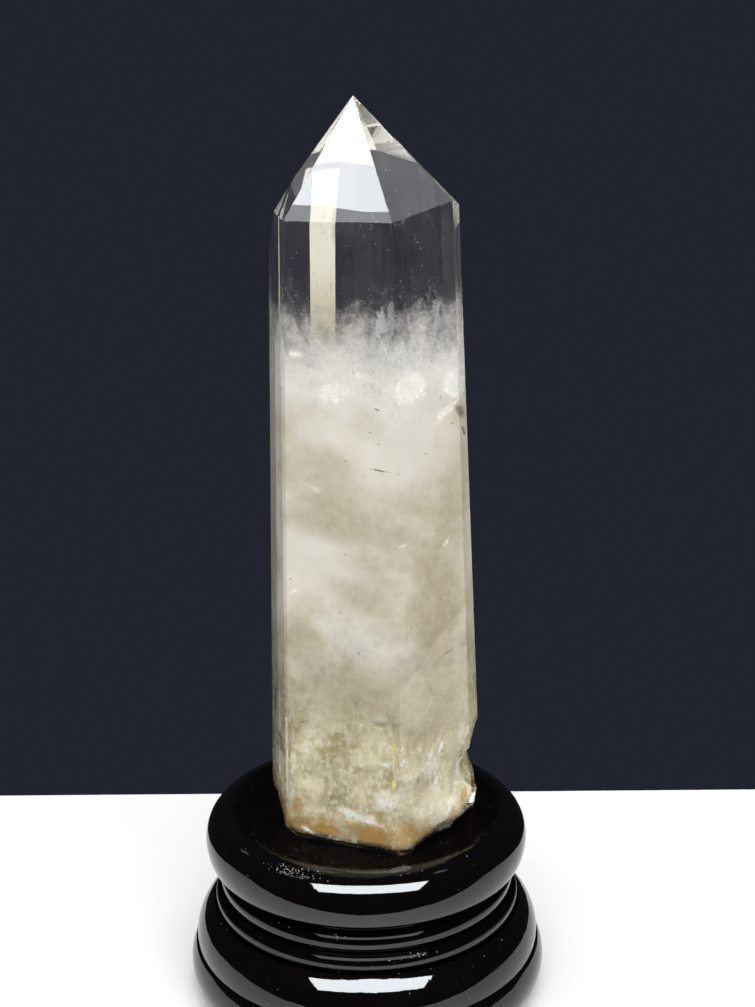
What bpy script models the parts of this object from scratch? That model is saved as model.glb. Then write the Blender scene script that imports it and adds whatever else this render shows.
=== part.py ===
"""A quartz point standing on a turned, black-lacquered wooden stand.

Units are metres, with +Z up. The origin is on the stand's axis, on the surface that it stands on, and
-Y is the front, the side that the crystal's broadest face looks to. There are two pieces: the stand is
one turned solid, and the crystal is one solid that rests on the floor of the stand's shallow dish.
"""

import math

import bmesh
import bpy
from mathutils import Euler, Matrix, Vector, noise

MM = 0.001

# Stand. Each rounding of its turned outline, from the rim down: the centre (radius, height) and the two
# radii in mm, the degrees that it runs between (0 is outward, 90 is up) and how many points it takes
TURNINGS = {
    "rim": ((32.4, 38.8), (5.9, 6.9), (112, 0), 9),
    "rim_underside": ((32.4, 38.8), (5.9, 8.2), (-8, -30), 3),
    "neck": ((33.9, 31.7), (1.3, 1.0), (115, 235), 3),
    "upper_bead": ((33.0, 28.6), (2.1, 2.3), (80, 0), 4),
    "upper_bead_underside": ((32.6, 28.6), (2.5, 3.2), (-12, -57), 3),
    "lower_bead": ((34.3, 24.0), (2.1, 2.3), (78, 0), 4),
    "lower_bead_underside": ((33.7, 24.0), (2.7, 3.2), (-12, -57), 3),
    "swelling": ((30.6, 13.8), (10.6, 10.5), (54, -10), 6),
    "foot": ((36.7, 7.4), (6.1, 7.4), (36, -90), 9),
}
DISH_FLOOR = 45.2 * MM
DISH_FLAT_RADIUS = 28.6 * MM
STAND_STEPS = 64
SHARP_ANGLE = math.radians(35)

# Crystal
REST_GAP = 0.3 * MM
CRYSTAL_FOOT = DISH_FLOOR + REST_GAP
APEX = Vector((-1.1, 1.0, 209.95)) * MM
# Its upright edges in mm, counter-clockwise from above: where each one meets the facets of the point
# (x, y, z), and about where it would meet the dish (x, y)
EDGES = {
    "left_front": ((-16.9, -7.0, 185.6), (-19.6, -9.5)),
    "front_left": ((-15.9, -9.0, 184.95), (-18.2, -15.8)),
    "front_right": ((6.8, -18.0, 185.4), (9.8, -25.0)),
    "right": ((19.6, -8.0, 188.8), (25.8, -11.2)),
    "right_back": ((21.1, -4.5, 187.7), (27.4, -5.5)),
    "back_right": ((18.6, 13.3, 187.5), (23.5, 15.5)),
    "back": ((-0.7, 21.4, 189.6), (-1.5, 24.4)),
    "back_left": ((-7.2, 20.2, 189.6), (-8.2, 22.9)),
    "left_back": ((-20.5, 12.9, 176.0), (-22.9, 13.9)),
    "left": ((-18.35, -1.0, 186.0), (-21.4, 0.0)),
}
# One small steep facet, over the side that starts at this edge, stops short of the tip at this point
STEEP_FACET_EDGE = "left"
STEEP_FACET_TOP = Vector((-13.3, 0.3, 195.3)) * MM
BLOCK_SIDE = 0.6

# Scars where flakes broke away: the deepest spot of each in mm, the way it faces (degrees from the
# front towards +X, degrees up), and the radii of the scooping ellipsoid in mm (inward, across, upright)
SCARS = {
    "foot_left": ((-19.9, -4.0, 49.0), (-82, -22), (9, 24, 18)),
    "foot_left_front": ((-17.4, -14.0, 46.6), (-50, -28), (8, 8, 10)),
    "foot_front_left": ((-9.5, -18.2, 46.8), (-24, -26), (7, 12, 7)),
    "foot_front": ((1.5, -22.6, 46.8), (-12, -30), (8, 9, 6.5)),
    "foot_corner": ((16.6, -16.8, 48.0), (45, -34), (8, 16, 13)),
    "foot_right": ((21.8, -9.5, 48.2), (66, -38), (12, 16, 12)),
    "foot_right_back": ((22.6, 9.0, 49.0), (108, -30), (12, 14, 14)),
    "foot_back": ((8.0, 20.5, 49.0), (165, -24), (12, 16, 12)),
    "foot_back_left": ((-12.0, 20.0, 50.0), (208, -20), (12, 13, 16)),
    "notch_right_above": ((23.1, -2.0, 65.2), (90, -17), (5, 24, 10.5)),
    "notch_right_below": ((22.9, -2.0, 57.8), (86, 26), (5, 22, 7)),
    "notch_right_front": ((21.3, -12.2, 61.0), (56, -12), (6, 7, 10)),
    "lobe_right": ((25.2, -3.0, 51.5), (88, -6), (5, 20, 10)),
    "hollow_right_front": ((17.2, -19.0, 54.5), (40, 8), (6, 6, 5)),
    "edge_front_low": ((8.0, -23.0, 56.0), (8, -2), (6, 8, 13)),
    "ledge_front": ((-6.5, -18.8, 52.0), (-21, 6), (5, 18, 9)),
    "ledge_front_high": ((0.5, -21.4, 61.5), (-20, 16), (4, 10, 5)),
    "ledge_right": ((13.2, -20.6, 66.0), (36, -8), (7, 4.5, 11)),
    "flake_front": ((3.8, -21.3, 75.0), (-20, 25), (9, 4.6, 1.7)),
    "flake_right": ((25.2, -6.5, 86.0), (80, 0), (10, 8, 6)),
    "flake_right_high": ((24.4, -7.0, 97.0), (75, 0), (10, 7, 5)),
    "chip_right": ((22.1, -7.0, 150.6), (72, 10), (5, 3.2, 2.6)),
    "chip_right_low": ((22.6, -6.2, 145.0), (78, 5), (6, 3, 2.8)),
    "chip_shoulder": ((20.4, -6.2, 187.6), (70, 35), (3, 2, 1.5)),
    "flake_back": ((6.0, 21.0, 92.0), (165, 0), (16, 7, 9)),
    "flake_back_low": ((-14.0, 20.0, 74.0), (208, 0), (12, 6, 8)),
}
SCAR_DETAIL = 3
SCAR_RIPPLE = 0.03
SCAR_RIPPLE_SCALE = 2.4
SCAR_SEED_STEP = 7.0


def clear_scene():
    for old in list(bpy.data.objects):
        bpy.data.objects.remove(old)


def material(name, colour, roughness, transmission=0.0, ior=1.5):
    """A plain finish for one piece."""
    made = bpy.data.materials.new(name)
    made.use_nodes = True
    shader = made.node_tree.nodes["Principled BSDF"]
    shader.inputs["Base Color"].default_value = (*colour, 1.0)
    shader.inputs["Roughness"].default_value = roughness
    shader.inputs["Transmission Weight"].default_value = transmission
    shader.inputs["IOR"].default_value = ior
    return made


def add_object(name, shape, finish=None):
    """Turns a bmesh into a named object in the scene."""
    mesh = bpy.data.meshes.new(name)
    shape.to_mesh(mesh)
    shape.free()
    if finish:
        mesh.materials.append(finish)
    made = bpy.data.objects.new(name, mesh)
    bpy.context.scene.collection.objects.link(made)
    return made


def arc(centre, radii, span, count):
    """Points (radius, height) in metres along part of an ellipse given in mm."""
    turns = [math.radians(span[0] + (span[1] - span[0]) * k / (count - 1)) for k in range(count)]
    return [((centre[0] + radii[0] * math.cos(t)) * MM, (centre[1] + radii[1] * math.sin(t)) * MM) for t in turns]


def stand_profile():
    """The turned outline, from the dish floor over the rounded rim and down to the foot."""
    points = [(DISH_FLAT_RADIUS, DISH_FLOOR)]
    for centre, radii, span, count in TURNINGS.values():
        points += arc(centre, radii, span, count)
    return points


def build_stand():
    """One turned solid: the profile spun about the axis, with a flat dish floor and underside."""
    shape = bmesh.new()
    rows = []
    for radius, height in stand_profile():
        row = []
        for step in range(STAND_STEPS):
            turn = 2 * math.pi * step / STAND_STEPS
            row.append(shape.verts.new((radius * math.cos(turn), radius * math.sin(turn), height)))
        rows.append(row)
    for upper, lower in zip(rows, rows[1:]):
        for step in range(STAND_STEPS):
            after = (step + 1) % STAND_STEPS
            shape.faces.new((upper[step], lower[step], lower[after], upper[after]))
    shape.faces.new(rows[0])
    shape.faces.new(rows[-1][::-1])
    bmesh.ops.recalc_face_normals(shape, faces=shape.faces)
    made = add_object("stand", shape, material("black_lacquer", (0.006, 0.006, 0.008), 0.12))
    made.data.shade_smooth()
    made.data.set_sharp_from_angle(angle=SHARP_ANGLE)
    return made


def cut_flat(shape, a, b, c, inside):
    """Cuts the shape along the plane of three points and keeps the side that holds inside."""
    normal = (b - a).cross(c - a).normalized()
    if normal.dot(inside - a) > 0:
        normal.negate()
    geometry = shape.verts[:] + shape.edges[:] + shape.faces[:]
    cut = bmesh.ops.bisect_plane(shape, geom=geometry, plane_co=a, plane_no=normal, clear_outer=True)
    rim = [part for part in cut["geom_cut"] if isinstance(part, bmesh.types.BMEdge)]
    if rim:
        bmesh.ops.contextual_create(shape, geom=rim)


def crystal_block():
    """The unbroken crystal: a block cut flat along each side and each facet of the point."""
    shape = bmesh.new()
    bmesh.ops.create_cube(shape, size=BLOCK_SIDE)
    inside = Vector((0, 0, (CRYSTAL_FOOT + APEX.z) / 2))
    under = Vector((0, 0, CRYSTAL_FOOT))
    cut_flat(shape, under, under + Vector((1, 0, 0)), under + Vector((0, 1, 0)), inside)
    names = list(EDGES)
    for name, after in zip(names, names[1:] + names[:1]):
        top, next_top = Vector(EDGES[name][0]) * MM, Vector(EDGES[after][0]) * MM
        middle = (Vector(EDGES[name][1]) + Vector(EDGES[after][1])) / 2 * MM
        cut_flat(shape, top, next_top, Vector((*middle, CRYSTAL_FOOT)), inside)
        tip = STEEP_FACET_TOP if name == STEEP_FACET_EDGE else APEX
        cut_flat(shape, top, next_top, tip, inside)
    bmesh.ops.remove_doubles(shape, verts=shape.verts, dist=0.02 * MM)
    bmesh.ops.recalc_face_normals(shape, faces=shape.faces)
    return shape


def scar_place(spot, facing, radii):
    """Where the unit ball goes so that its surface scoops down to the spot."""
    turn, rise = (math.radians(angle) for angle in facing)
    outward = Vector((math.sin(turn) * math.cos(rise), -math.cos(turn) * math.cos(rise), math.sin(rise)))
    centre = (Vector(spot) + outward * radii[0]) * MM
    turned = Euler((0, -rise, turn - math.pi / 2)).to_matrix().to_4x4()
    return Matrix.Translation(centre) @ turned @ Matrix.Diagonal((*(Vector(radii) * MM), 1))


def build_scar(name, spot, facing, radii, number):
    """The cutter of one scar: a ball with the low ripples that broken quartz shows."""
    shape = bmesh.new()
    bmesh.ops.create_icosphere(shape, subdivisions=SCAR_DETAIL, radius=1.0)
    for vert in shape.verts:
        seed = vert.co * SCAR_RIPPLE_SCALE + Vector((0, 0, SCAR_SEED_STEP * number))
        vert.co *= 1 + SCAR_RIPPLE * noise.noise(seed)
    bmesh.ops.transform(shape, matrix=scar_place(spot, facing, radii), verts=shape.verts)
    cutter = add_object("scar_" + name, shape)
    cutter.hide_render = True
    cutter.display_type = "WIRE"
    return cutter


def build_crystal():
    """The quartz point: flat faces, broken away in shell-shaped scars round its foot."""
    quartz = material("quartz", (0.86, 0.84, 0.79), 0.05, transmission=0.9, ior=1.544)
    crystal = add_object("quartz_point", crystal_block(), quartz)
    for number, (name, (spot, facing, radii)) in enumerate(SCARS.items()):
        scar = crystal.modifiers.new(name, "BOOLEAN")
        scar.operation = "DIFFERENCE"
        scar.solver = "EXACT"
        scar.object = build_scar(name, spot, facing, radii, number)
    return crystal


clear_scene()
build_stand()
build_crystal()
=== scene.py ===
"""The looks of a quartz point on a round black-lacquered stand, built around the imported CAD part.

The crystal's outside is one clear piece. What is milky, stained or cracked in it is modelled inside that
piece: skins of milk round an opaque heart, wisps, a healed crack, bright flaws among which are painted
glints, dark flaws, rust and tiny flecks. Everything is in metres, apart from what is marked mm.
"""

import math
import random

import bmesh
import bpy
from mathutils import Matrix, Vector, noise
from mathutils.bvhtree import BVHTree


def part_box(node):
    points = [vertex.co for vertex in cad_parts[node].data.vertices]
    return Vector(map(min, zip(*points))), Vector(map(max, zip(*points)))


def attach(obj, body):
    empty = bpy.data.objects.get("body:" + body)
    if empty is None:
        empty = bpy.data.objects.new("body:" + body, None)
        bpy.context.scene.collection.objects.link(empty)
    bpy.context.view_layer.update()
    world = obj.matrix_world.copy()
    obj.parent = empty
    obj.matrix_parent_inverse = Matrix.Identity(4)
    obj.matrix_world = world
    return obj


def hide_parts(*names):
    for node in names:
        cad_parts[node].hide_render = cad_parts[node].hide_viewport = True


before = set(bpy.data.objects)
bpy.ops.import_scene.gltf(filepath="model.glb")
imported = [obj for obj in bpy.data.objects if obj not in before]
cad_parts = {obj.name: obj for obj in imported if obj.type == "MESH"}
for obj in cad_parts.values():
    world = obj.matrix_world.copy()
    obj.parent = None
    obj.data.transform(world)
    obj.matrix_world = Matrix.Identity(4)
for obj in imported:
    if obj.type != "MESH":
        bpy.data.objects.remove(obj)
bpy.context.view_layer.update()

scene = bpy.context.scene
chance = random.Random(11)

MM = 0.001

# Camera: where the photograph was taken from, and its focal length in pixels of the 755 x 1007 frame
CAMERA_PLACE = (0.00337, -0.350, 0.2246)
CAMERA_PITCH = 16.58
CAMERA_ROLL = -0.47
CAMERA_NEAREST = 0.01
FOCAL_PIXELS = 1615
FRAME_HEIGHT = 1007
SENSOR = 36.0

# Stage: the table ends just in front of the stand, so that the crystal's front faces mirror nothing pale
TABLE_HALF_WIDTH = 0.8
TABLE_FRONT = -0.09
TABLE_BACK = 0.096
WORLD_COLOUR = (0.016, 0.018, 0.026)
LAYERS_SEEN_THROUGH = 32

# Lamps: the point that each faces, the azimuth and rise that it stands at in degrees, its distance, its
# width and height, its radiance, its colour, its turn in its own plane in degrees, and its kind. A soft lamp
# is never mirrored, and a gloss lamp is only mirrored.
MIDDLE = (0, 0, 0.1)
SHOULDER = (0, 0, 0.19)
FRONT_FACET = (-0.002, -0.009, 0.194)
LAMPS = (
    ("key", MIDDLE, 14, 40, 1.0, (1.2, 0.5), 5.1, (1.0, 0.99, 0.97), 0, "soft"),
    ("left_fill", MIDDLE, -75, 30, 1.0, (0.6, 0.6), 2.4, (1.0, 0.99, 0.98), 0, "soft"),
    ("ceiling", (0.05, -0.1, 0.2), 0, 90, 1.0, (1.6, 1.2), 2.9, (1.0, 0.99, 0.97), 0, "soft"),
    ("window_gloss", (0.047, -0.03, 0.03), 0, 48, 1.0, (1.26, 0.52), 22.0, (0.93, 0.96, 1.0), 0, "gloss"),
    ("facet_gloss", FRONT_FACET, -60.5, 50.85, 1.0, (0.16, 0.100), 12.0, (0.93, 0.97, 1.0), 29, "gloss"),
    ("facet_glow", FRONT_FACET, -60.5, 50.7, 1.05, (0.18, 0.128), 4.4, (0.95, 0.97, 1.0), 29, "gloss"),
    ("left_gloss", SHOULDER, -123, 34, 1.0, (0.11, 0.11), 1.0, (0.95, 0.96, 1.0), 0, "gloss"),
    ("right_gloss", SHOULDER, 91, 56, 1.0, (0.11, 0.11), 1.6, (0.95, 0.96, 1.0), 0, "gloss"),
)

# Stand: the turned outline again, from the dish floor over the rim to the foot, in finer steps. Each
# rounding has its centre (radius, height) and two radii in mm, and the degrees that it runs between.
TURNINGS = (
    ((32.4, 38.8), (5.9, 6.9), (112, 0)),
    ((32.4, 38.8), (5.9, 8.2), (-7, -30)),
    ((33.9, 31.7), (1.3, 1.0), (115, 235)),
    ((33.0, 28.6), (2.1, 2.3), (80, 0)),
    ((32.6, 28.6), (2.5, 3.2), (-7, -57)),
    ((34.3, 24.0), (2.1, 2.3), (78, 0)),
    ((33.7, 24.0), (2.7, 3.2), (-7, -57)),
    ((30.6, 13.8), (10.6, 10.5), (54, -10)),
    ((36.7, 7.4), (6.1, 7.4), (36, -90)),
)
DISH_FLOOR = 45.2 * MM
DISH_FLAT_RADIUS = 28.6 * MM
STAND_STEPS = 288
DEGREES_PER_STEP = 7
FEWEST_STEPS = 4
SHARPEST_SMOOTHED = 32

# The lacquer is dull in the dish and on the beads; these are the radii and heights that this fades between
DISH_RADII = (0.0305, 0.0330)
DISH_HEIGHTS = (0.044, 0.045)
BEADS_BOTTOM = (0.0222, 0.0228)
BEADS_TOP = (0.0335, 0.0325)

# Where pale grains lie on the lacquer, as dust and as painted glints where the window's reflection breaks
# into sparkles: azimuth and its spread in degrees, lowest and highest place in mm, and how many grains; then
# the grains' sizes and how far they stand off the lacquer, in mm
DUST_AND_GLINTS = (
    (-27, 11, 44.3, 45.5, 170),
    (18, 5, 45.2, 45.6, 14),
    (-10, 4, 29.6, 30.6, 12),
    (17, 10, 25.0, 26.0, 34),
    (-2, 14, 24.0, 26.0, 16),
    (10, 30, 20.0, 22.2, 24),
)
DUST_AND_GLINT_SIZES = (0.04, 0.16)
DUST_AND_GLINT_LIFT = 0.02

# Crystal: its axis in plan, what counts as one point and one face of the CAD mesh, and its worn edges
QUARTZ_IOR = 1.544
AXIS = Vector((1.0, 0.5)) * MM
SAME_POINT = 0.005 * MM
SAME_FACE_DEGREES = 0.6
WORN_EDGE = 0.15 * MM
WORN_EDGE_DEGREES = 9

# Layers in the crystal: the heights that they lie between and how deep under the sides they are
FOOT_GAP = 0.6 * MM
HEART_TOP = 150 * MM
MILK_SPAN = (72 * MM, 171 * MM)
MILK_DEPTH = 0.12 * MM
INNER_HAZE_TOP = 110 * MM
INNER_HAZE_DEPTH = 1.1 * MM
OUTER_HAZE_TOP = 108 * MM
OUTER_HAZE_DEPTH = 0.35 * MM
CLEAR_HAZE_SPAN = (152 * MM, 207 * MM)
CLEAR_HAZE_DEPTH = 0.25 * MM
WISPS_SPAN = (148 * MM, 180 * MM)
WISP_DEPTHS = (0.5, 3.0, 6.0, 10.0, 14.0)

# How finely the layers are cut, and how their depth varies: by what share, and how quickly round and upwards
COLUMNS = 160
SLICE_MM = 2
SLICE_TURNS = 24
DEPTH_SHARE = 0.6
DEPTH_WAVES_ROUND = 2
DEPTH_WAVES_UP = 60
LEAST_RADIUS = 0.3 * MM

# The lumps on the heart's top: how high they are, how far down they begin, the scale and share of the noise
# that makes them, and the rings that close the top
TOP_LUMPS = 5 * MM
TOP_LUMPS_DEPTH = 16 * MM
TOP_LUMPS_NOISE = ((120, 1.0), (400, 0.15))
TOP_RINGS = (0.85, 0.65, 0.45, 0.25, 0.1)

# Broad clouds in the milk, seen from the front: x, z, width and height in mm, tilt in degrees, strength
WHITE_CLOUDS = (
    (10.0, 138.0, 34.0, 30.0, 20, 0.75),
    (-11.0, 112.0, 34.0, 22.0, -28, 0.75),
    (0.0, 95.0, 34.0, 15.0, -24, 0.8),
    (-9.0, 141.0, 18.0, 12.0, -10, 0.6),
)
SMOKY_CLOUDS = (
    (16.0, 70.0, 22.0, 36.0, -12, 0.75),
    (17.0, 100.0, 18.0, 44.0, 4, 1.0),
    (-3.0, 121.0, 40.0, 13.0, -6, 0.7),
    (20.0, 122.0, 12.0, 26.0, 0, 0.7),
    (-13.0, 92.0, 12.0, 24.0, 20, 0.6),
    (-1.0, 105.0, 22.0, 8.0, -20, 0.5),
    (-3.0, 83.0, 20.0, 12.0, -14, 0.5),
)
CLOUD_DEPTH = -0.016
CLOUD_HALF_DEPTH = 0.020

# The two kinds of cloud: their places, colour and greatest cover
CLOUDS = (
    (WHITE_CLOUDS, (0.93, 0.92, 0.88), 0.85),
    (SMOKY_CLOUDS, (0.50, 0.43, 0.29), 0.8),
)

# The healed crack's four corners in mm
HEALED_CORNERS = ((-8.5, 5, 148), (-2.9, 5, 148), (-2.6, 5, 192.4), (-8.45, 5, 191.9))

# Marks just under the front: x, z, width and height in mm, tilt in degrees, depth in mm, strength
# The bright marks are white flaws and cracks, and partly painted glints: white patches that stand for
# sparkles and highlights on chips at the right edge and on streaks at the foot.
BRIGHT_FLAWS_AND_GLINTS = (
    (-14.2, 157.0, 6.0, 2.4, 0, 0.10, 1.0),
    (-5.9, 149.3, 9.0, 6.0, 20, 0.06, 1.1),
    (10.4, 150.7, 9.5, 10.5, 0, 0.06, 1.3),
    (20.4, 149.6, 7.6, 9.0, 35, 0.06, 1.3),
    (18.5, 144.5, 9.0, 3.0, 38, 0.06, 1.2),
    (-10.6, 128.1, 12.0, 2.0, -28, 0.05, 0.5),
    (-10.6, 86.5, 6.4, 2.0, -28, 0.3, 1.1),
    (-7.6, 84.8, 8.0, 0.9, -28, 0.3, 1.0),
    (-12.2, 88.0, 5.0, 0.9, -50, 0.3, 0.9),
    (3.5, 77.3, 8.0, 3.2, -8, 0.25, 0.7),
    (5.2, 57.9, 12.0, 8.4, 12, 0.35, 0.9),
    (-2.1, 52.9, 19.0, 3.6, -12, 0.25, 1.0),
    (17.2, 67.8, 1.8, 8.0, -18, 0.3, 0.8),
    (14.9, 67.0, 1.6, 7.0, -18, 0.3, 0.7),
    (16.0, 60.0, 1.8, 9.0, -24, 0.3, 0.7),
    (19.8, 53.5, 2.6, 12.0, -20, 0.35, 1.1),
    (18.2, 115.0, 2.0, 6.0, -30, 0.1, 0.8),
    (8.8, 67.3, 4.0, 2.6, 20, 0.3, 0.8),
    (4.6, 66.6, 3.6, 2.4, -10, 0.3, 0.9),
    (-15.0, 104.4, 3.6, 1.6, 30, 0.1, 0.8),
    (8.8, 117.0, 2.6, 1.2, 10, 0.1, 0.8),
    (-13.5, 47.6, 6.0, 2.0, -20, 0.15, 1.0),
)
YELLOW_MARKS = (
    (6.5, 66.5, 0.5, 12.0, 0, 0.1, 1.2),
    (6.6, 70.6, 1.0, 1.6, 0, 0.1, 1.2),
    (6.5, 62.2, 1.4, 3.2, 0, 0.1, 1.3),
)
DARK_MARKS = (
    (-12.8, 163.0, 1.6, 7.0, 24, 0.2, 1.1),
    (-11.4, 160.0, 1.0, 4.0, 30, 0.2, 1.0),
    (3.4, 146.5, 2.0, 0.7, -20, 0.05, 1.0),
    (2.0, 141.5, 1.6, 0.6, 20, 0.05, 1.0),
    (4.0, 133.4, 6.0, 0.6, -6, 0.05, 1.0),
    (21.3, 144.0, 2.4, 6.0, 34, 0.05, 1.1),
    (22.4, 139.0, 1.4, 5.0, 24, 0.05, 0.8),
    (18.6, 90.0, 8.0, 1.2, 24, 0.05, 0.8),
    (-1.3, 79.8, 6.0, 8.0, 20, 0.3, 0.6),
    (-6.0, 83.0, 2.0, 0.5, 10, 0.1, 1.0),
    (-14.0, 73.6, 1.6, 0.9, 10, 0.1, 1.0),
    (12.0, 62.0, 1.4, 4.0, -10, 0.3, 0.7),
)
RUST_MARKS = (
    (-15.4, 53.0, 4.4, 6.6, 0, 0.2, 1.2),
    (-8.0, 48.6, 11.0, 3.6, -6, 0.15, 1.3),
    (1.5, 49.4, 19.0, 6.0, -3, 0.15, 1.5),
    (-14.0, 49.4, 8.0, 3.4, -20, 0.15, 1.2),
    (13.4, 49.0, 8.0, 4.6, 6, 0.2, 1.1),
    (22.9, 53.5, 2.6, 5.6, 0, 0.2, 1.0),
    (20.2, 50.6, 4.0, 6.0, 0, 0.2, 0.9),
)
MARK_GRID = 14

# The kinds of mark: their places, two colours, the size of their fraying in metres, greatest cover, how
# far in from the edge they fade, and how much they fray
MARKS = {
    "dark_marks": (DARK_MARKS, (0.16, 0.14, 0.09), (0.26, 0.22, 0.14), 0.0014, 0.7, 0.6, 3.0),
    "rust_marks": (RUST_MARKS, (0.46, 0.25, 0.05), (0.38, 0.28, 0.12), 0.0025, 0.75, 0.8, 3.2),
    # White flaws, partly painted glints and highlights.
    "bright_flaws_and_glints": (BRIGHT_FLAWS_AND_GLINTS, (0.97, 0.97, 0.95), (0.90, 0.89, 0.84), 0.0012, 0.95, 0.9, 4.2),
    "yellow_marks": (YELLOW_MARKS, (0.90, 0.72, 0.25), (0.85, 0.75, 0.40), 0.001, 0.95, 0.35, 1.6),
}

# Flecks: where they are, their lowest and highest place in mm, how many, and their size in mm. Among the
# wisps they thin out over a height, and at the foot they lie in the outer shares of the radius.
FLECKS = (
    ("wisps", 146, 172, 3600, 0.09),
    ("clear", 172, 204, 420, 0.11),
    ("foot", 48, 100, 1600, 0.09),
)
FLECKS_THIN_FROM = 0.150
FLECKS_THIN_OVER = 0.024
FLECKS_FOOT_SHARES = (0.8, 1.0)
FLECKS_MARGIN = 0.5 * MM
FLECKS_ROOM = 1 * MM
FLECKS_SIZES = (0.4, 1.6)

# Dust grains with painted glints, and marks, are laid on a surface from this far outside it, in mm
RAY_START = 60


def new_object(name, shape, finish, smooth=True):
    """Turns a bmesh into an object with one finish."""
    mesh = bpy.data.meshes.new(name)
    shape.to_mesh(mesh)
    shape.free()
    mesh.materials.append(finish)
    made = bpy.data.objects.new(name, mesh)
    scene.collection.objects.link(made)
    if smooth:
        mesh.shade_smooth()
    return made


def fit(piece, replaced=None):
    """Makes an object ride on the part, and hides the CAD part that it replaces."""
    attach(piece, "root")
    if replaced:
        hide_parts(replaced)
    return piece


def blend(low, high, value):
    """0 below low, 1 above high, smooth between."""
    t = max(0.0, min(1.0, (value - low) / (high - low)))
    return t * t * (3 - 2 * t)


class Finish:
    """A material under construction: makes nodes and links them in one line each."""

    def __init__(self, name):
        self.material = bpy.data.materials.new(name)
        self.material.use_nodes = True
        self.tree = self.material.node_tree
        self.shader = self.tree.nodes["Principled BSDF"]

    def set(self, **values):
        """Sets the shader's inputs, whose names are written with _ for a space."""
        for name, value in values.items():
            self.put(self.shader, name.replace("_", " "), value)

    def put(self, node, name, value):
        """Sets an input, or links it where the value is another node's output."""
        socket = node.inputs[name]
        if isinstance(value, bpy.types.NodeSocket):
            self.tree.links.new(value, socket)
        elif isinstance(value, tuple) and len(value) == 3 and socket.type == "RGBA":
            socket.default_value = (*value, 1.0)
        else:
            socket.default_value = value

    def add(self, kind, output=0, **values):
        """Makes a node, sets its inputs and gives one of its outputs."""
        node = self.tree.nodes.new("ShaderNode" + kind)
        for name, value in values.items():
            self.put(node, name.replace("_", " "), value)
        return node.outputs[output]

    def point(self):
        """The place on the piece, in metres."""
        return self.add("TexCoord", output="Object")

    def side(self, axis):
        """How far the place is along X, Y or Z."""
        return self.add("SeparateXYZ", output=axis, Vector=self.point())

    def height(self):
        """Height above the surface that the stand stands on."""
        return self.side("Z")

    def place(self, scale=(1, 1, 1), shift=(0, 0, 0)):
        """The place on the piece, stretched and then shifted."""
        return self.add("Mapping", Vector=self.point(), Scale=scale, Location=shift)

    def noise(self, size, detail=4.0, roughness=0.55, stretch=(1, 1, 1), distortion=0.0):
        """Noise round 0.5 whose blotches are about as wide as the given size in metres."""
        return self.add("TexNoise", output="Fac", Vector=self.place(stretch), Scale=1.0 / size, Detail=detail,
                        Roughness=roughness, Distortion=distortion)

    def sway(self, size, amount, **given):
        """Noise round 0 that swings half the amount to either side."""
        return self.calc("MULTIPLY", self.calc("SUBTRACT", self.noise(size, **given), 0.5), amount)

    def ragged_height(self, size, amount, **given):
        """The height, raised by up to the amount in blotches of a size."""
        return self.calc("ADD", self.height(), self.calc("MULTIPLY", self.noise(size, **given), amount))

    def wool(self, stretch, shift, *layers):
        """Layers of noise laid over each other: scale, detail, roughness, distortion and share of each."""
        where = self.place(stretch, shift)
        total = None
        for scale, detail, roughness, distortion, share in layers:
            layer = self.add("TexNoise", output="Fac", Vector=where, Scale=scale, Detail=detail,
                             Roughness=roughness, Distortion=distortion)
            part = self.calc("MULTIPLY", layer, share)
            total = self.calc("ADD", total, part) if total else part
        return total

    def ramp(self, value, low, high, to_low=0.0, to_high=1.0):
        """Turns low into to_low and high into to_high, with a smooth step between them."""
        node = self.tree.nodes.new("ShaderNodeMapRange")
        node.interpolation_type = "SMOOTHSTEP"
        for name, given in (("Value", value), ("From Min", low), ("From Max", high),
                            ("To Min", to_low), ("To Max", to_high)):
            self.put(node, name, given)
        return node.outputs["Result"]

    def calc(self, operation, a, b=0.0):
        """One step of arithmetic."""
        node = self.tree.nodes.new("ShaderNodeMath")
        node.operation = operation
        for index, value in ((0, a), (1, b)):
            if isinstance(value, bpy.types.NodeSocket):
                self.tree.links.new(value, node.inputs[index])
            else:
                node.inputs[index].default_value = value
        return node.outputs[0]

    def mix(self, factor, first, second):
        """Mixes two colours."""
        node = self.tree.nodes.new("ShaderNodeMix")
        node.data_type = "RGBA"
        self.put(node, "Factor", factor)
        for index, value in ((6, first), (7, second)):
            if isinstance(value, bpy.types.NodeSocket):
                self.tree.links.new(value, node.inputs[index])
            else:
                node.inputs[index].default_value = (*value, 1.0)
        return node.outputs[2]

    def attribute(self, name):
        """A value that is stored on the piece's corners."""
        node = self.tree.nodes.new("ShaderNodeAttribute")
        node.attribute_name = name
        return node.outputs["Fac"]

    def spot(self, x, z, width, tall, tilt):
        """1 at a place on the front, given in mm, and 0 outside a tilted ellipse round it."""
        node = self.tree.nodes.new("ShaderNodeMapping")
        node.vector_type = "TEXTURE"
        self.put(node, "Vector", self.point())
        node.inputs["Location"].default_value = (x * MM, CLOUD_DEPTH, z * MM)
        node.inputs["Rotation"].default_value = (0, math.radians(-tilt), 0)
        node.inputs["Scale"].default_value = (width / 2 * MM, CLOUD_HALF_DEPTH, tall / 2 * MM)
        ball = self.tree.nodes.new("ShaderNodeTexGradient")
        ball.gradient_type = "SPHERICAL"
        self.put(ball, "Vector", node.outputs[0])
        return ball.outputs["Fac"]

    def bump(self, value, strength, distance):
        """The surface's normal, tilted as if the value were relief of a depth in metres."""
        return self.add("Bump", output="Normal", Height=value, Strength=strength, Distance=distance)


# Camera, table and light

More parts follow.
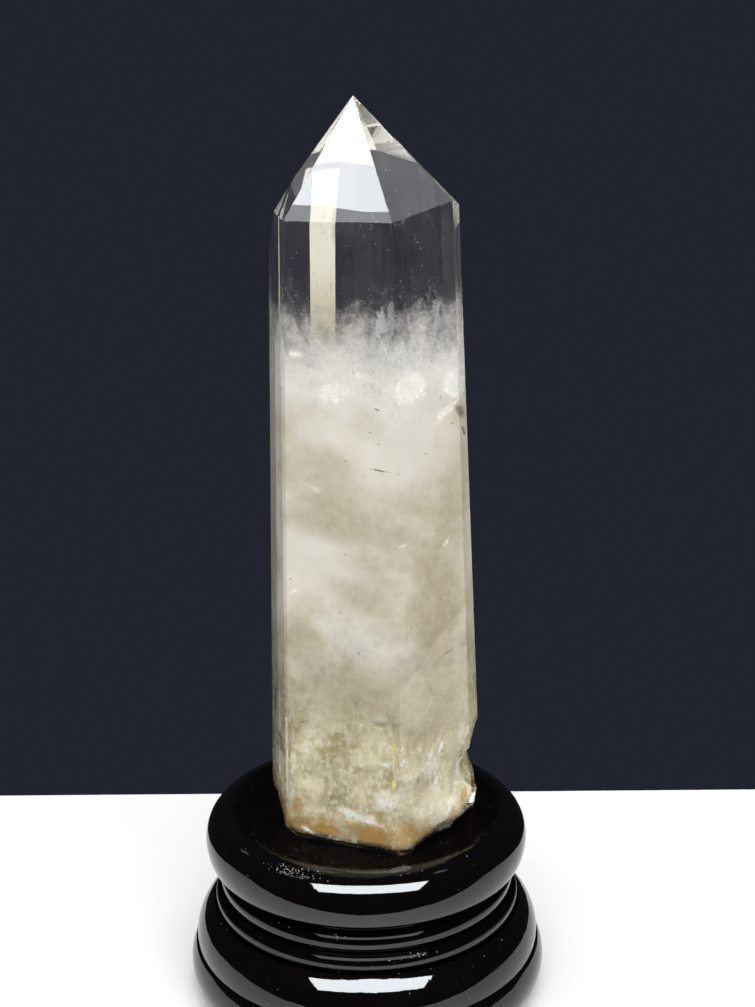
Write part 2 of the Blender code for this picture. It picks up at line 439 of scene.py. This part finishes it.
def add_camera():
    """The photograph's camera."""
    data = bpy.data.cameras.new("camera")
    data.sensor_width = SENSOR
    data.lens = FOCAL_PIXELS / FRAME_HEIGHT * SENSOR
    data.clip_start = CAMERA_NEAREST
    camera = bpy.data.objects.new("camera", data)
    scene.collection.objects.link(camera)
    tilt = Matrix.Rotation(math.radians(90 - CAMERA_PITCH), 4, "X")
    roll = Matrix.Rotation(math.radians(CAMERA_ROLL), 4, "Z")
    camera.matrix_world = Matrix.Translation(CAMERA_PLACE) @ tilt @ roll
    scene.camera = camera


def add_stage():
    """The pale table and the dark room."""
    finish = Finish("pale_table")
    tone = finish.mix(finish.noise(0.02), (0.84, 0.84, 0.85), (0.88, 0.88, 0.88))
    finish.set(Base_Color=tone, Roughness=0.55)
    shape = bmesh.new()
    corners = [(-TABLE_HALF_WIDTH, TABLE_FRONT), (TABLE_HALF_WIDTH, TABLE_FRONT),
               (TABLE_HALF_WIDTH, TABLE_BACK), (-TABLE_HALF_WIDTH, TABLE_BACK)]
    shape.faces.new([shape.verts.new((x, y, 0)) for x, y in corners])
    new_object("table", shape, finish.material, smooth=False)
    world = bpy.data.worlds.new("dark_room")
    world.use_nodes = True
    world.node_tree.nodes["Background"].inputs["Color"].default_value = (*WORLD_COLOUR, 1.0)
    scene.world = world
    scene.view_settings.view_transform = "Standard"
    scene.cycles.transparent_max_bounces = LAYERS_SEEN_THROUGH


def direction(azimuth, rise):
    """The unit vector towards an azimuth (0 is the front, 90 is +X) and a rise, both in degrees."""
    a, r = math.radians(azimuth), math.radians(rise)
    return Vector((math.sin(a) * math.cos(r), -math.cos(a) * math.cos(r), math.sin(r)))


def add_lamp(name, seen_from, azimuth, rise, distance, size, radiance, colour, turn, kind):
    """A flat rectangular lamp that faces a point from a direction."""
    data = bpy.data.lights.new(name, "AREA")
    data.shape = "RECTANGLE"
    data.size, data.size_y = size
    data.energy = radiance * math.pi * size[0] * size[1]
    data.color = colour
    lamp = bpy.data.objects.new(name, data)
    scene.collection.objects.link(lamp)
    lamp.location = Vector(seen_from) + direction(azimuth, rise) * distance
    facing = (-direction(azimuth, rise)).to_track_quat("-Z", "Y").to_matrix()
    lamp.rotation_euler = (facing @ Matrix.Rotation(math.radians(turn), 3, "Z")).to_euler()
    if kind == "gloss":
        lamp.visible_diffuse = False
        lamp.visible_transmission = False
    else:
        lamp.visible_glossy = False
    return lamp


add_camera()
add_stage()
lamps = {row[0]: add_lamp(*row) for row in LAMPS}


# Stand

def lacquer():
    """Black lacquer with specks of dust, dull in the dish and on the upper sides of the beads."""
    finish = Finish("black_lacquer")
    grain = finish.noise(0.004, stretch=(1, 1, 0.15))
    specks = finish.ramp(finish.noise(0.0007, detail=1.0), 0.785, 0.815)
    black = finish.mix(grain, (0.0008, 0.0008, 0.0010), (0.0032, 0.0022, 0.0020))
    tone = finish.mix(specks, black, (0.30, 0.30, 0.31))
    finish.set(Base_Color=tone, Roughness=0.5, Specular_IOR_Level=0.0)
    x, y, z = finish.side("X"), finish.side("Y"), finish.height()
    square = finish.calc("ADD", finish.calc("MULTIPLY", x, x), finish.calc("MULTIPLY", y, y))
    inside_rim = finish.ramp(finish.calc("SQRT", square), *DISH_RADII, 1.0, 0.0)
    dish = finish.calc("MULTIPLY", inside_rim, finish.ramp(z, *DISH_HEIGHTS))
    beads = finish.calc("MULTIPLY", finish.ramp(z, *BEADS_BOTTOM), finish.ramp(z, *BEADS_TOP))
    upwards = finish.add("SeparateXYZ", output="Z", Vector=finish.add("NewGeometry", output="Normal"))
    dull = finish.calc("MAXIMUM", dish, finish.calc("MULTIPLY", beads, finish.ramp(upwards, 0.1, 0.4)))
    finish.set(Coat_Weight=finish.calc("SUBTRACT", 1.0, finish.calc("MULTIPLY", dull, 0.9)))
    ripple = finish.calc("MULTIPLY", finish.noise(0.0012, detail=1.0), 0.12)
    waves = finish.calc("ADD", finish.noise(0.006, detail=1.0), ripple)
    finish.set(Coat_Roughness=0.035, Coat_IOR=1.5, Coat_Normal=finish.bump(waves, 0.12, 0.0006))
    return finish.material


def lacquered_stand():
    """The turned stand."""
    points = [(DISH_FLAT_RADIUS, DISH_FLOOR)]
    for centre, radii, span in TURNINGS:
        count = max(FEWEST_STEPS, round(abs(span[1] - span[0]) / DEGREES_PER_STEP))
        for k in range(count + 1):
            turn = math.radians(span[0] + (span[1] - span[0]) * k / count)
            radius = (centre[0] + radii[0] * math.cos(turn)) * MM
            height = (centre[1] + radii[1] * math.sin(turn)) * MM
            points.append((radius, height))
    shape = bmesh.new()
    turns = [2 * math.pi * step / STAND_STEPS for step in range(STAND_STEPS)]
    rows = []
    for radius, height in points:
        rows.append([shape.verts.new((radius * math.cos(t), radius * math.sin(t), height)) for t in turns])
    for upper, lower in zip(rows, rows[1:]):
        for step in range(STAND_STEPS):
            after = (step + 1) % STAND_STEPS
            shape.faces.new((upper[step], lower[step], lower[after], upper[after]))
    shape.faces.new(rows[0])
    shape.faces.new(rows[-1][::-1])
    piece = new_object("lacquered_stand", shape, lacquer())
    piece.data.set_sharp_from_angle(angle=math.radians(SHARPEST_SMOOTHED))
    return fit(piece, "stand")


def dust_and_glints():
    """Pale grains on the rim, the beads and the swelling: dust, and painted glints where the window's
    reflection breaks into sparkles.
    """
    finish = Finish("dust_and_glints")
    finish.set(Base_Color=(0.9, 0.9, 0.88), Roughness=0.4)
    shape = bmesh.new()
    for azimuth, spread, low, high, count in DUST_AND_GLINTS:
        for _ in range(count):
            turn = math.radians(chance.gauss(azimuth, spread / 2))
            outward = Vector((math.sin(turn), -math.cos(turn), 0))
            start = outward * RAY_START * MM + Vector((0, 0, chance.uniform(low, high) * MM))
            hit, normal, _, _ = stand_tree.ray_cast(start, -outward)
            if hit is None:
                continue
            span = chance.uniform(*DUST_AND_GLINT_SIZES) * MM
            side = normal.orthogonal().normalized()
            other = normal.cross(side)
            turns = sorted(chance.uniform(0, 2 * math.pi) for _ in range(3))
            middle = hit + normal * DUST_AND_GLINT_LIFT * MM
            corners = [middle + span * (side * math.cos(t) + other * math.sin(t)) for t in turns]
            shape.faces.new([shape.verts.new(corner) for corner in corners])
    fit(new_object("dust_and_glints", shape, finish.material, smooth=False))


stand_tree = BVHTree.FromObject(lacquered_stand(), bpy.context.evaluated_depsgraph_get())
dust_and_glints()


# Crystal

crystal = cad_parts["quartz_point"]
crystal_tree = BVHTree.FromObject(crystal, bpy.context.evaluated_depsgraph_get())
crystal_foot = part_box("quartz_point")[0].z


def reach(turn, z):
    """How far the crystal reaches from its axis at a height, towards a turn in radians from the front."""
    hit = crystal_tree.ray_cast(Vector((AXIS.x, AXIS.y, z)), Vector((math.sin(turn), -math.cos(turn), 0)))
    return hit[3] if hit[0] else 0.0


def around(turn, radius, z):
    """The point at a turn in radians from the front, a radius from the crystal's axis and a height."""
    return Vector((AXIS.x + radius * math.sin(turn), AXIS.y - radius * math.cos(turn), z))


def crystal_faces():
    """The CAD crystal's faces, each whole again."""
    shape = bmesh.new()
    shape.from_mesh(crystal.data)
    bmesh.ops.remove_doubles(shape, verts=shape.verts, dist=SAME_POINT)
    flat = math.radians(SAME_FACE_DEGREES)
    bmesh.ops.dissolve_limit(shape, angle_limit=flat, verts=shape.verts, edges=shape.edges)
    return shape


def frosted_edge():
    """The worn edges, which scatter light."""
    finish = Finish("worn_edge")
    finish.set(Base_Color=(0.9, 0.9, 0.9), Roughness=0.5, Transmission_Weight=0.5, IOR=QUARTZ_IOR)
    return finish.material


def clear_quartz():
    """The whole crystal's outside: polished, rough in patches at its foot, with worn edges."""
    finish = Finish("clear_quartz")
    foot = finish.ramp(finish.ragged_height(0.008, 0.02), 0.062, 0.078, 1.0, 0.0)
    rough = finish.calc("MULTIPLY", foot, finish.noise(0.0015))
    finish.set(Base_Color=(1.0, 1.0, 1.0), Transmission_Weight=1.0, IOR=QUARTZ_IOR)
    finish.set(Roughness=finish.ramp(rough, 0.2, 0.7, 0.0, 0.35))
    finish.set(Normal=finish.bump(finish.noise(0.012, detail=1.0), 0.05, 0.0003))
    volume = finish.tree.nodes.new("ShaderNodeVolumeAbsorption")
    volume.inputs["Color"].default_value = (0.93, 0.89, 0.82, 1.0)
    volume.inputs["Density"].default_value = 1.0
    finish.tree.links.new(volume.outputs[0], finish.tree.nodes["Material Output"].inputs["Volume"])
    piece = new_object("clear_quartz", crystal_faces(), finish.material, smooth=False)
    piece.data.materials.append(frosted_edge())
    edge = piece.modifiers.new("worn_edges", "BEVEL")
    edge.width = WORN_EDGE
    edge.segments = 1
    edge.angle_limit = math.radians(WORN_EDGE_DEGREES)
    edge.material = 1
    piece.visible_shadow = False
    piece.visible_diffuse = False
    return fit(piece, "quartz_point")


def add_band(shape, lower, upper):
    """Fills the space between two rings."""
    for column in range(COLUMNS):
        after = (column + 1) % COLUMNS
        shape.faces.new((lower[column], lower[after], upper[after], upper[column]))


def close_lumpy(shape, bottom, top, high):
    """Closes a layer at both ends, and makes its top uneven."""
    shape.faces.new(bottom[::-1])
    edge = top
    for share in TOP_RINGS:
        inner = []
        for vert in top:
            x = AXIS.x + share * (vert.co.x - AXIS.x)
            y = AXIS.y + share * (vert.co.y - AXIS.y)
            inner.append(shape.verts.new((x, y, high)))
        add_band(shape, edge, inner)
        edge = inner
    shape.faces.new(edge)
    for vert in shape.verts:
        near_top = blend(high - TOP_LUMPS_DEPTH, high, vert.co.z)
        lumps = sum(share * noise.noise(vert.co * scale) for scale, share in TOP_LUMPS_NOISE)
        vert.co.z += near_top * lumps * TOP_LUMPS


def cloud_layer(name, low, high, rows, depth, finish, closed=False, seed=0.0):
    """A skin inside the crystal that follows its sides at a depth given for each height."""
    shape = bmesh.new()
    rings = []
    for row in range(rows):
        z = low + (high - low) * row / (rows - 1)
        ring = []
        for column in range(COLUMNS):
            turn = 2 * math.pi * column / COLUMNS
            wave = noise.noise(Vector((math.sin(turn) * DEPTH_WAVES_ROUND, math.cos(turn) * DEPTH_WAVES_ROUND,
                                       z * DEPTH_WAVES_UP + seed)))
            radius = reach(turn, z) - depth(z) * (1.0 + DEPTH_SHARE * wave)
            ring.append(shape.verts.new(around(turn, max(radius, LEAST_RADIUS), z)))
        rings.append(ring)
    for lower, upper in zip(rings, rings[1:]):
        add_band(shape, lower, upper)
    if closed:
        close_lumpy(shape, rings[0], rings[-1], high)
    return fit(new_object(name, shape, finish))


def cut(shape, place, facing, clear=False):
    """Cuts a shape along a plane, and where clear is true takes away what is beyond it."""
    geometry = shape.verts[:] + shape.edges[:] + shape.faces[:]
    bmesh.ops.bisect_plane(shape, geom=geometry, plane_co=place, plane_no=facing, clear_outer=clear)


def sliced_skin(name, low, high, depth, finish):
    """The crystal's own sides between two heights, cut into a grid and set a little way in."""
    shape = crystal_faces()
    for z in range(round(low / MM), round(high / MM) + 1, SLICE_MM):
        cut(shape, (0, 0, z * MM), (0, 0, 1))
    for step in range(SLICE_TURNS):
        turn = math.pi * step / SLICE_TURNS
        cut(shape, (AXIS.x, AXIS.y, 0), (math.cos(turn), math.sin(turn), 0))
    shape.normal_update()
    moved = [(vert, vert.co - vert.normal * depth) for vert in shape.verts]
    for vert, place in moved:
        vert.co = place
    cut(shape, (0, 0, low), (0, 0, -1), clear=True)
    cut(shape, (0, 0, high), (0, 0, 1), clear=True)
    return fit(new_object(name, shape, finish, smooth=False))


def clouded(finish, tone):
    """The tone with the broad white and smoky clouds laid over it."""
    fray = finish.sway(0.006, 0.9, detail=6.0)
    for places, colour, most in CLOUDS:
        for x, z, width, tall, tilt, strength in places:
            near = finish.spot(x, z, width, tall, tilt)
            edge = finish.calc("MULTIPLY", finish.ramp(near, 0.0, 0.25), fray)
            cover = finish.ramp(finish.calc("ADD", near, edge), 0.0, 0.75, 0.0, most * strength)
            tone = finish.mix(cover, tone, colour)
    return tone


def milk_tone(finish):
    """The milk's colour: cream with beige bands and broad clouds, white and then grey towards its top."""
    z = finish.calc("ADD", finish.height(), finish.sway(0.016, 0.03))
    bands = finish.ramp(finish.noise(0.018, detail=3.0, stretch=(0.8, 0.8, 1.4), distortion=0.3), 0.36, 0.64)
    cream = finish.mix(bands, (0.64, 0.59, 0.46), (0.84, 0.81, 0.72))
    tone = finish.mix(finish.ramp(z, 0.070, 0.112), (0.66, 0.60, 0.44), cream)
    tone = finish.mix(finish.ramp(z, 0.138, 0.151), clouded(finish, tone), (0.88, 0.88, 0.85))
    tone = finish.mix(finish.ramp(z, 0.149, 0.163), tone, (0.56, 0.55, 0.53))
    mottling = finish.ramp(finish.noise(0.002, detail=5.0), 0.42, 0.62, 0.0, 0.14)
    tone = finish.mix(mottling, tone, (0.92, 0.90, 0.86))
    pits = finish.ramp(finish.noise(0.0011, detail=1.0), 0.23, 0.19)
    return finish.mix(pits, tone, (0.25, 0.22, 0.17))


def milk_finish():
    """The milk that reaches the crystal's sides; it frays out at its top and at its foot."""
    finish = Finish("milk")
    finish.set(Base_Color=milk_tone(finish), Roughness=0.9, Specular_IOR_Level=0.0)
    top = finish.ragged_height(0.006, 0.040, detail=8.0, roughness=0.68)
    foot = finish.ragged_height(0.009, 0.05, detail=8.0, roughness=0.68)
    below_top = finish.ramp(top, 0.167, 0.186, 1.0, 0.0)
    finish.set(Alpha=finish.calc("MULTIPLY", below_top, finish.ramp(foot, 0.088, 0.128)))
    return finish.material


def heart_finish():
    """The opaque heart: rusty at its foot, then olive with cream streaks, beige, white and grey."""
    finish = Finish("olive_heart")
    z = finish.calc("ADD", finish.height(), finish.sway(0.007, 0.02, detail=5.0))
    blotches = finish.ramp(finish.noise(0.007, detail=6.0), 0.36, 0.64)
    streaks = finish.ramp(finish.noise(0.0011, detail=6.0, stretch=(1, 1, 0.6)), 0.46, 0.68, 0.0, 0.7)
    olive = finish.mix(blotches, (0.42, 0.37, 0.20), (0.78, 0.73, 0.52))
    tone = finish.mix(streaks, olive, (0.93, 0.90, 0.76))
    tone = clouded(finish, finish.mix(finish.ramp(z, 0.078, 0.098), tone, (0.74, 0.69, 0.55)))
    tone = finish.mix(finish.ramp(z, 0.122, 0.138), tone, (0.86, 0.86, 0.83))
    tone = finish.mix(finish.ramp(z, 0.137, 0.146), tone, (0.62, 0.62, 0.60))
    tone = finish.mix(finish.ramp(z, 0.0470, 0.0545, 0.9, 0.0), tone, (0.45, 0.29, 0.09))
    finish.set(Base_Color=tone, Roughness=0.9, Specular_IOR_Level=0.0)
    return finish.material


def wisp_finish(name, seed, thin):
    """Feathery white wisps above the milk, fewer and thinner the higher they are."""
    finish = Finish(name)
    wool = finish.wool((1, 1, 0.6), (seed, seed, 0),
                       (560.0, 10.0, 0.78, 0.4, 0.75), (120.0, 3.0, 0.5, 0.0, 0.55))
    to_the_right = finish.ramp(finish.side("X"), 0.003, 0.008, 0.0, 0.005)
    lift = finish.calc("ADD", finish.sway(0.011, 0.030, detail=2.0), to_the_right)
    bar = finish.ramp(finish.calc("SUBTRACT", finish.height(), lift), 0.146, 0.176, 0.61, 0.84 + thin)
    finish.set(Base_Color=(0.68, 0.68, 0.68), Roughness=0.8, Specular_IOR_Level=0.1)
    finish.set(Alpha=finish.ramp(finish.calc("SUBTRACT", wool, bar), 0.0, 0.16, 0.0, 0.45))
    return finish.material


def haze_finish():
    """A faint, uneven haze with fine streaks all through the clear part."""
    finish = Finish("clear_haze")
    streaks = finish.ramp(finish.noise(0.0012, detail=6.0, roughness=0.7, stretch=(1, 1, 0.25)), 0.50, 0.75)
    broad = finish.ramp(finish.noise(0.012, detail=2.0), 0.35, 0.65)
    cover = finish.calc("ADD", finish.calc("MULTIPLY", broad, 0.014), finish.calc("MULTIPLY", streaks, 0.032))
    finish.set(Base_Color=(0.80, 0.76, 0.76), Roughness=0.9, Specular_IOR_Level=0.0)
    finish.set(Alpha=finish.calc("ADD", cover, 0.007))
    return finish.material


def streak_finish(name, seed, cover, tone):
    """Fine inclusions in the clearer foot of the crystal, in a thin haze; darker at the left side."""
    finish = Finish(name)
    wool = finish.wool((1, 1, 1), (seed, seed, seed),
                       (900.0, 8.0, 0.75, 0.5, 0.5), (130.0, 4.0, 0.55, 0.0, 0.5))
    bar = finish.ramp(finish.height(), 0.080, 0.108, cover, 0.75)
    left = finish.ramp(finish.side("X"), -0.0185, -0.0165, 1.0, 0.0)
    finish.set(Base_Color=finish.mix(left, tone, (0.22, 0.17, 0.10)), Roughness=0.8, Specular_IOR_Level=0.1)
    finish.set(Alpha=finish.ramp(finish.calc("SUBTRACT", wool, bar), 0.0, 0.14, 0.0, 0.6))
    return finish.material


def heart_depth(z):
    """How deep the heart lies: near the sides at the foot, deeper above it, deepest at its own top."""
    behind_haze = 0.9 + 1.3 * blend(0.050, 0.070, z)
    behind_milk = 2.6 * blend(0.142, 0.150, z) - 0.9 * blend(0.090, 0.110, z)
    return (behind_haze + behind_milk) * MM


def build_cloud():
    """The milk, the heart behind it, the hazes and the wisps."""
    foot = crystal_foot + FOOT_GAP
    sliced_skin("milk_cloud", *MILK_SPAN, MILK_DEPTH, milk_finish())
    cloud_layer("olive_heart", foot, HEART_TOP, 80, heart_depth, heart_finish(), closed=True)
    inner = streak_finish("foot_haze_inner", 0.31, 0.47, (0.70, 0.66, 0.48))
    cloud_layer("foot_haze_inner", foot, INNER_HAZE_TOP, 60, lambda z: INNER_HAZE_DEPTH, inner, seed=3.0)
    outer = streak_finish("foot_haze_outer", 0.57, 0.50, (0.86, 0.83, 0.70))
    sliced_skin("foot_haze_outer", foot, OUTER_HAZE_TOP, OUTER_HAZE_DEPTH, outer)
    sliced_skin("clear_haze", *CLEAR_HAZE_SPAN, CLEAR_HAZE_DEPTH, haze_finish())
    for number, depth in enumerate(WISP_DEPTHS):
        name = f"wisps_{number + 1}"
        finish = wisp_finish(name, 0.1 * number, 0.006 * number)
        cloud_layer(name, *WISPS_SPAN, 44, lambda z: depth * MM, finish, seed=7.0 + number)


def healed_plane():
    """A flat healed crack deep in the crystal, which shows through the front as a pale stripe."""
    finish = Finish("healed_plane")
    grains = finish.ramp(finish.noise(0.0004, detail=4.0, roughness=0.7), 0.30, 0.40)
    tone = finish.mix(finish.ramp(finish.height(), 0.160, 0.178), (0.56, 0.52, 0.38), (0.88, 0.87, 0.77))
    tone = finish.mix(grains, (0.3, 0.3, 0.25), tone)
    finish.set(Base_Color=tone, Roughness=0.9, Specular_IOR_Level=0.1)
    patchy = finish.ramp(finish.noise(0.003, detail=6.0, stretch=(1, 1, 0.4)), 0.25, 0.45, 0.6, 1.0)
    ragged = finish.ragged_height(0.003, 0.016, detail=6.0, roughness=0.7)
    finish.set(Alpha=finish.calc("MULTIPLY", patchy, finish.ramp(ragged, 0.160, 0.176, 0.15, 1.0)))
    shape = bmesh.new()
    shape.faces.new([shape.verts.new(Vector(corner) * MM) for corner in HEALED_CORNERS])
    fit(new_object("healed_plane", shape, finish.material, smooth=False))


def add_marks(name, places, finish):
    """Soft-edged patches that follow the crystal's front a little way under it."""
    shape = bmesh.new()
    layer = shape.verts.layers.float.new("strength")
    for x, z, width, tall, tilt, depth, strength in places:
        lean = math.radians(tilt)
        rows = []
        for j in range(MARK_GRID + 1):
            row = []
            for i in range(MARK_GRID + 1):
                a, b = 2 * i / MARK_GRID - 1, 2 * j / MARK_GRID - 1
                across, up = a * width / 2, b * tall / 2
                start = Vector((x + across * math.cos(lean) - up * math.sin(lean), -RAY_START,
                                z + across * math.sin(lean) + up * math.cos(lean))) * MM
                hit, normal, _, _ = crystal_tree.ray_cast(start, Vector((0, 1, 0)))
                if hit is None:
                    row.append(None)
                    continue
                vert = shape.verts.new(hit - normal * depth * MM)
                vert[layer] = max(0.0, 1 - math.hypot(a, b)) * strength
                row.append(vert)
            rows.append(row)
        for lower, upper in zip(rows, rows[1:]):
            for i in range(MARK_GRID):
                corners = (lower[i], lower[i + 1], upper[i + 1], upper[i])
                if all(corners) and any(corner[layer] > 0 for corner in corners):
                    shape.faces.new(corners)
    bmesh.ops.delete(shape, geom=[vert for vert in shape.verts if not vert.link_faces], context="VERTS")
    piece = fit(new_object(name, shape, finish))
    piece.visible_shadow = False


def mark_finish(name, first, second, size, most, soft, fray_by):
    """A finish between two colours whose edges fray; soft is how far in from its edge it fades."""
    finish = Finish(name)
    fray = finish.sway(size, fray_by, detail=8.0, roughness=0.7)
    cover = finish.calc("ADD", finish.attribute("strength"), fray)
    tone = finish.mix(finish.ramp(finish.noise(size * 1.7, detail=5.0), 0.38, 0.62), first, second)
    finish.set(Base_Color=tone, Roughness=0.5, Specular_IOR_Level=0.2)
    within = finish.ramp(finish.attribute("strength"), 0.0, soft)
    finish.set(Alpha=finish.calc("MULTIPLY", within, finish.ramp(cover, 0.1, 0.7, 0.0, most)))
    return finish.material


def flecks():
    """Tiny bright flaws: crowded in the wisps and the foot, scattered in the clear part."""
    finish = Finish("flecks")
    finish.set(Base_Color=(0.95, 0.95, 0.93), Roughness=0.35)
    shape = bmesh.new()
    for where, low, high, count, size in FLECKS:
        made = 0
        while made < count:
            z = chance.uniform(low, high) * MM
            if where == "wisps" and chance.random() < (z - FLECKS_THIN_FROM) / FLECKS_THIN_OVER:
                continue
            turn = chance.uniform(0, 2 * math.pi)
            most = reach(turn, z) - FLECKS_MARGIN
            if most < FLECKS_ROOM:
                continue
            share = chance.uniform(*FLECKS_FOOT_SHARES) if where == "foot" else chance.random() ** 0.5
            centre = around(turn, most * share, z)
            span = size * chance.uniform(*FLECKS_SIZES) * MM
            corners = [centre + span * Vector([chance.uniform(-1, 1) for _ in range(3)]) for _ in range(3)]
            shape.faces.new([shape.verts.new(corner) for corner in corners])
            made += 1
    fit(new_object("flecks", shape, finish.material, smooth=False))


# The lamps behind the bright facet light only the crystal, so that the stand shows no second window
crystal_only = bpy.data.collections.new("crystal_only")
crystal_only.objects.link(clear_quartz())
for name in ("facet_gloss", "facet_glow"):
    lamps[name].light_linking.receiver_collection = crystal_only

build_cloud()
healed_plane()
for name, (places, *looks) in MARKS.items():
    add_marks(name, places, mark_finish(name, *looks))
flecks()
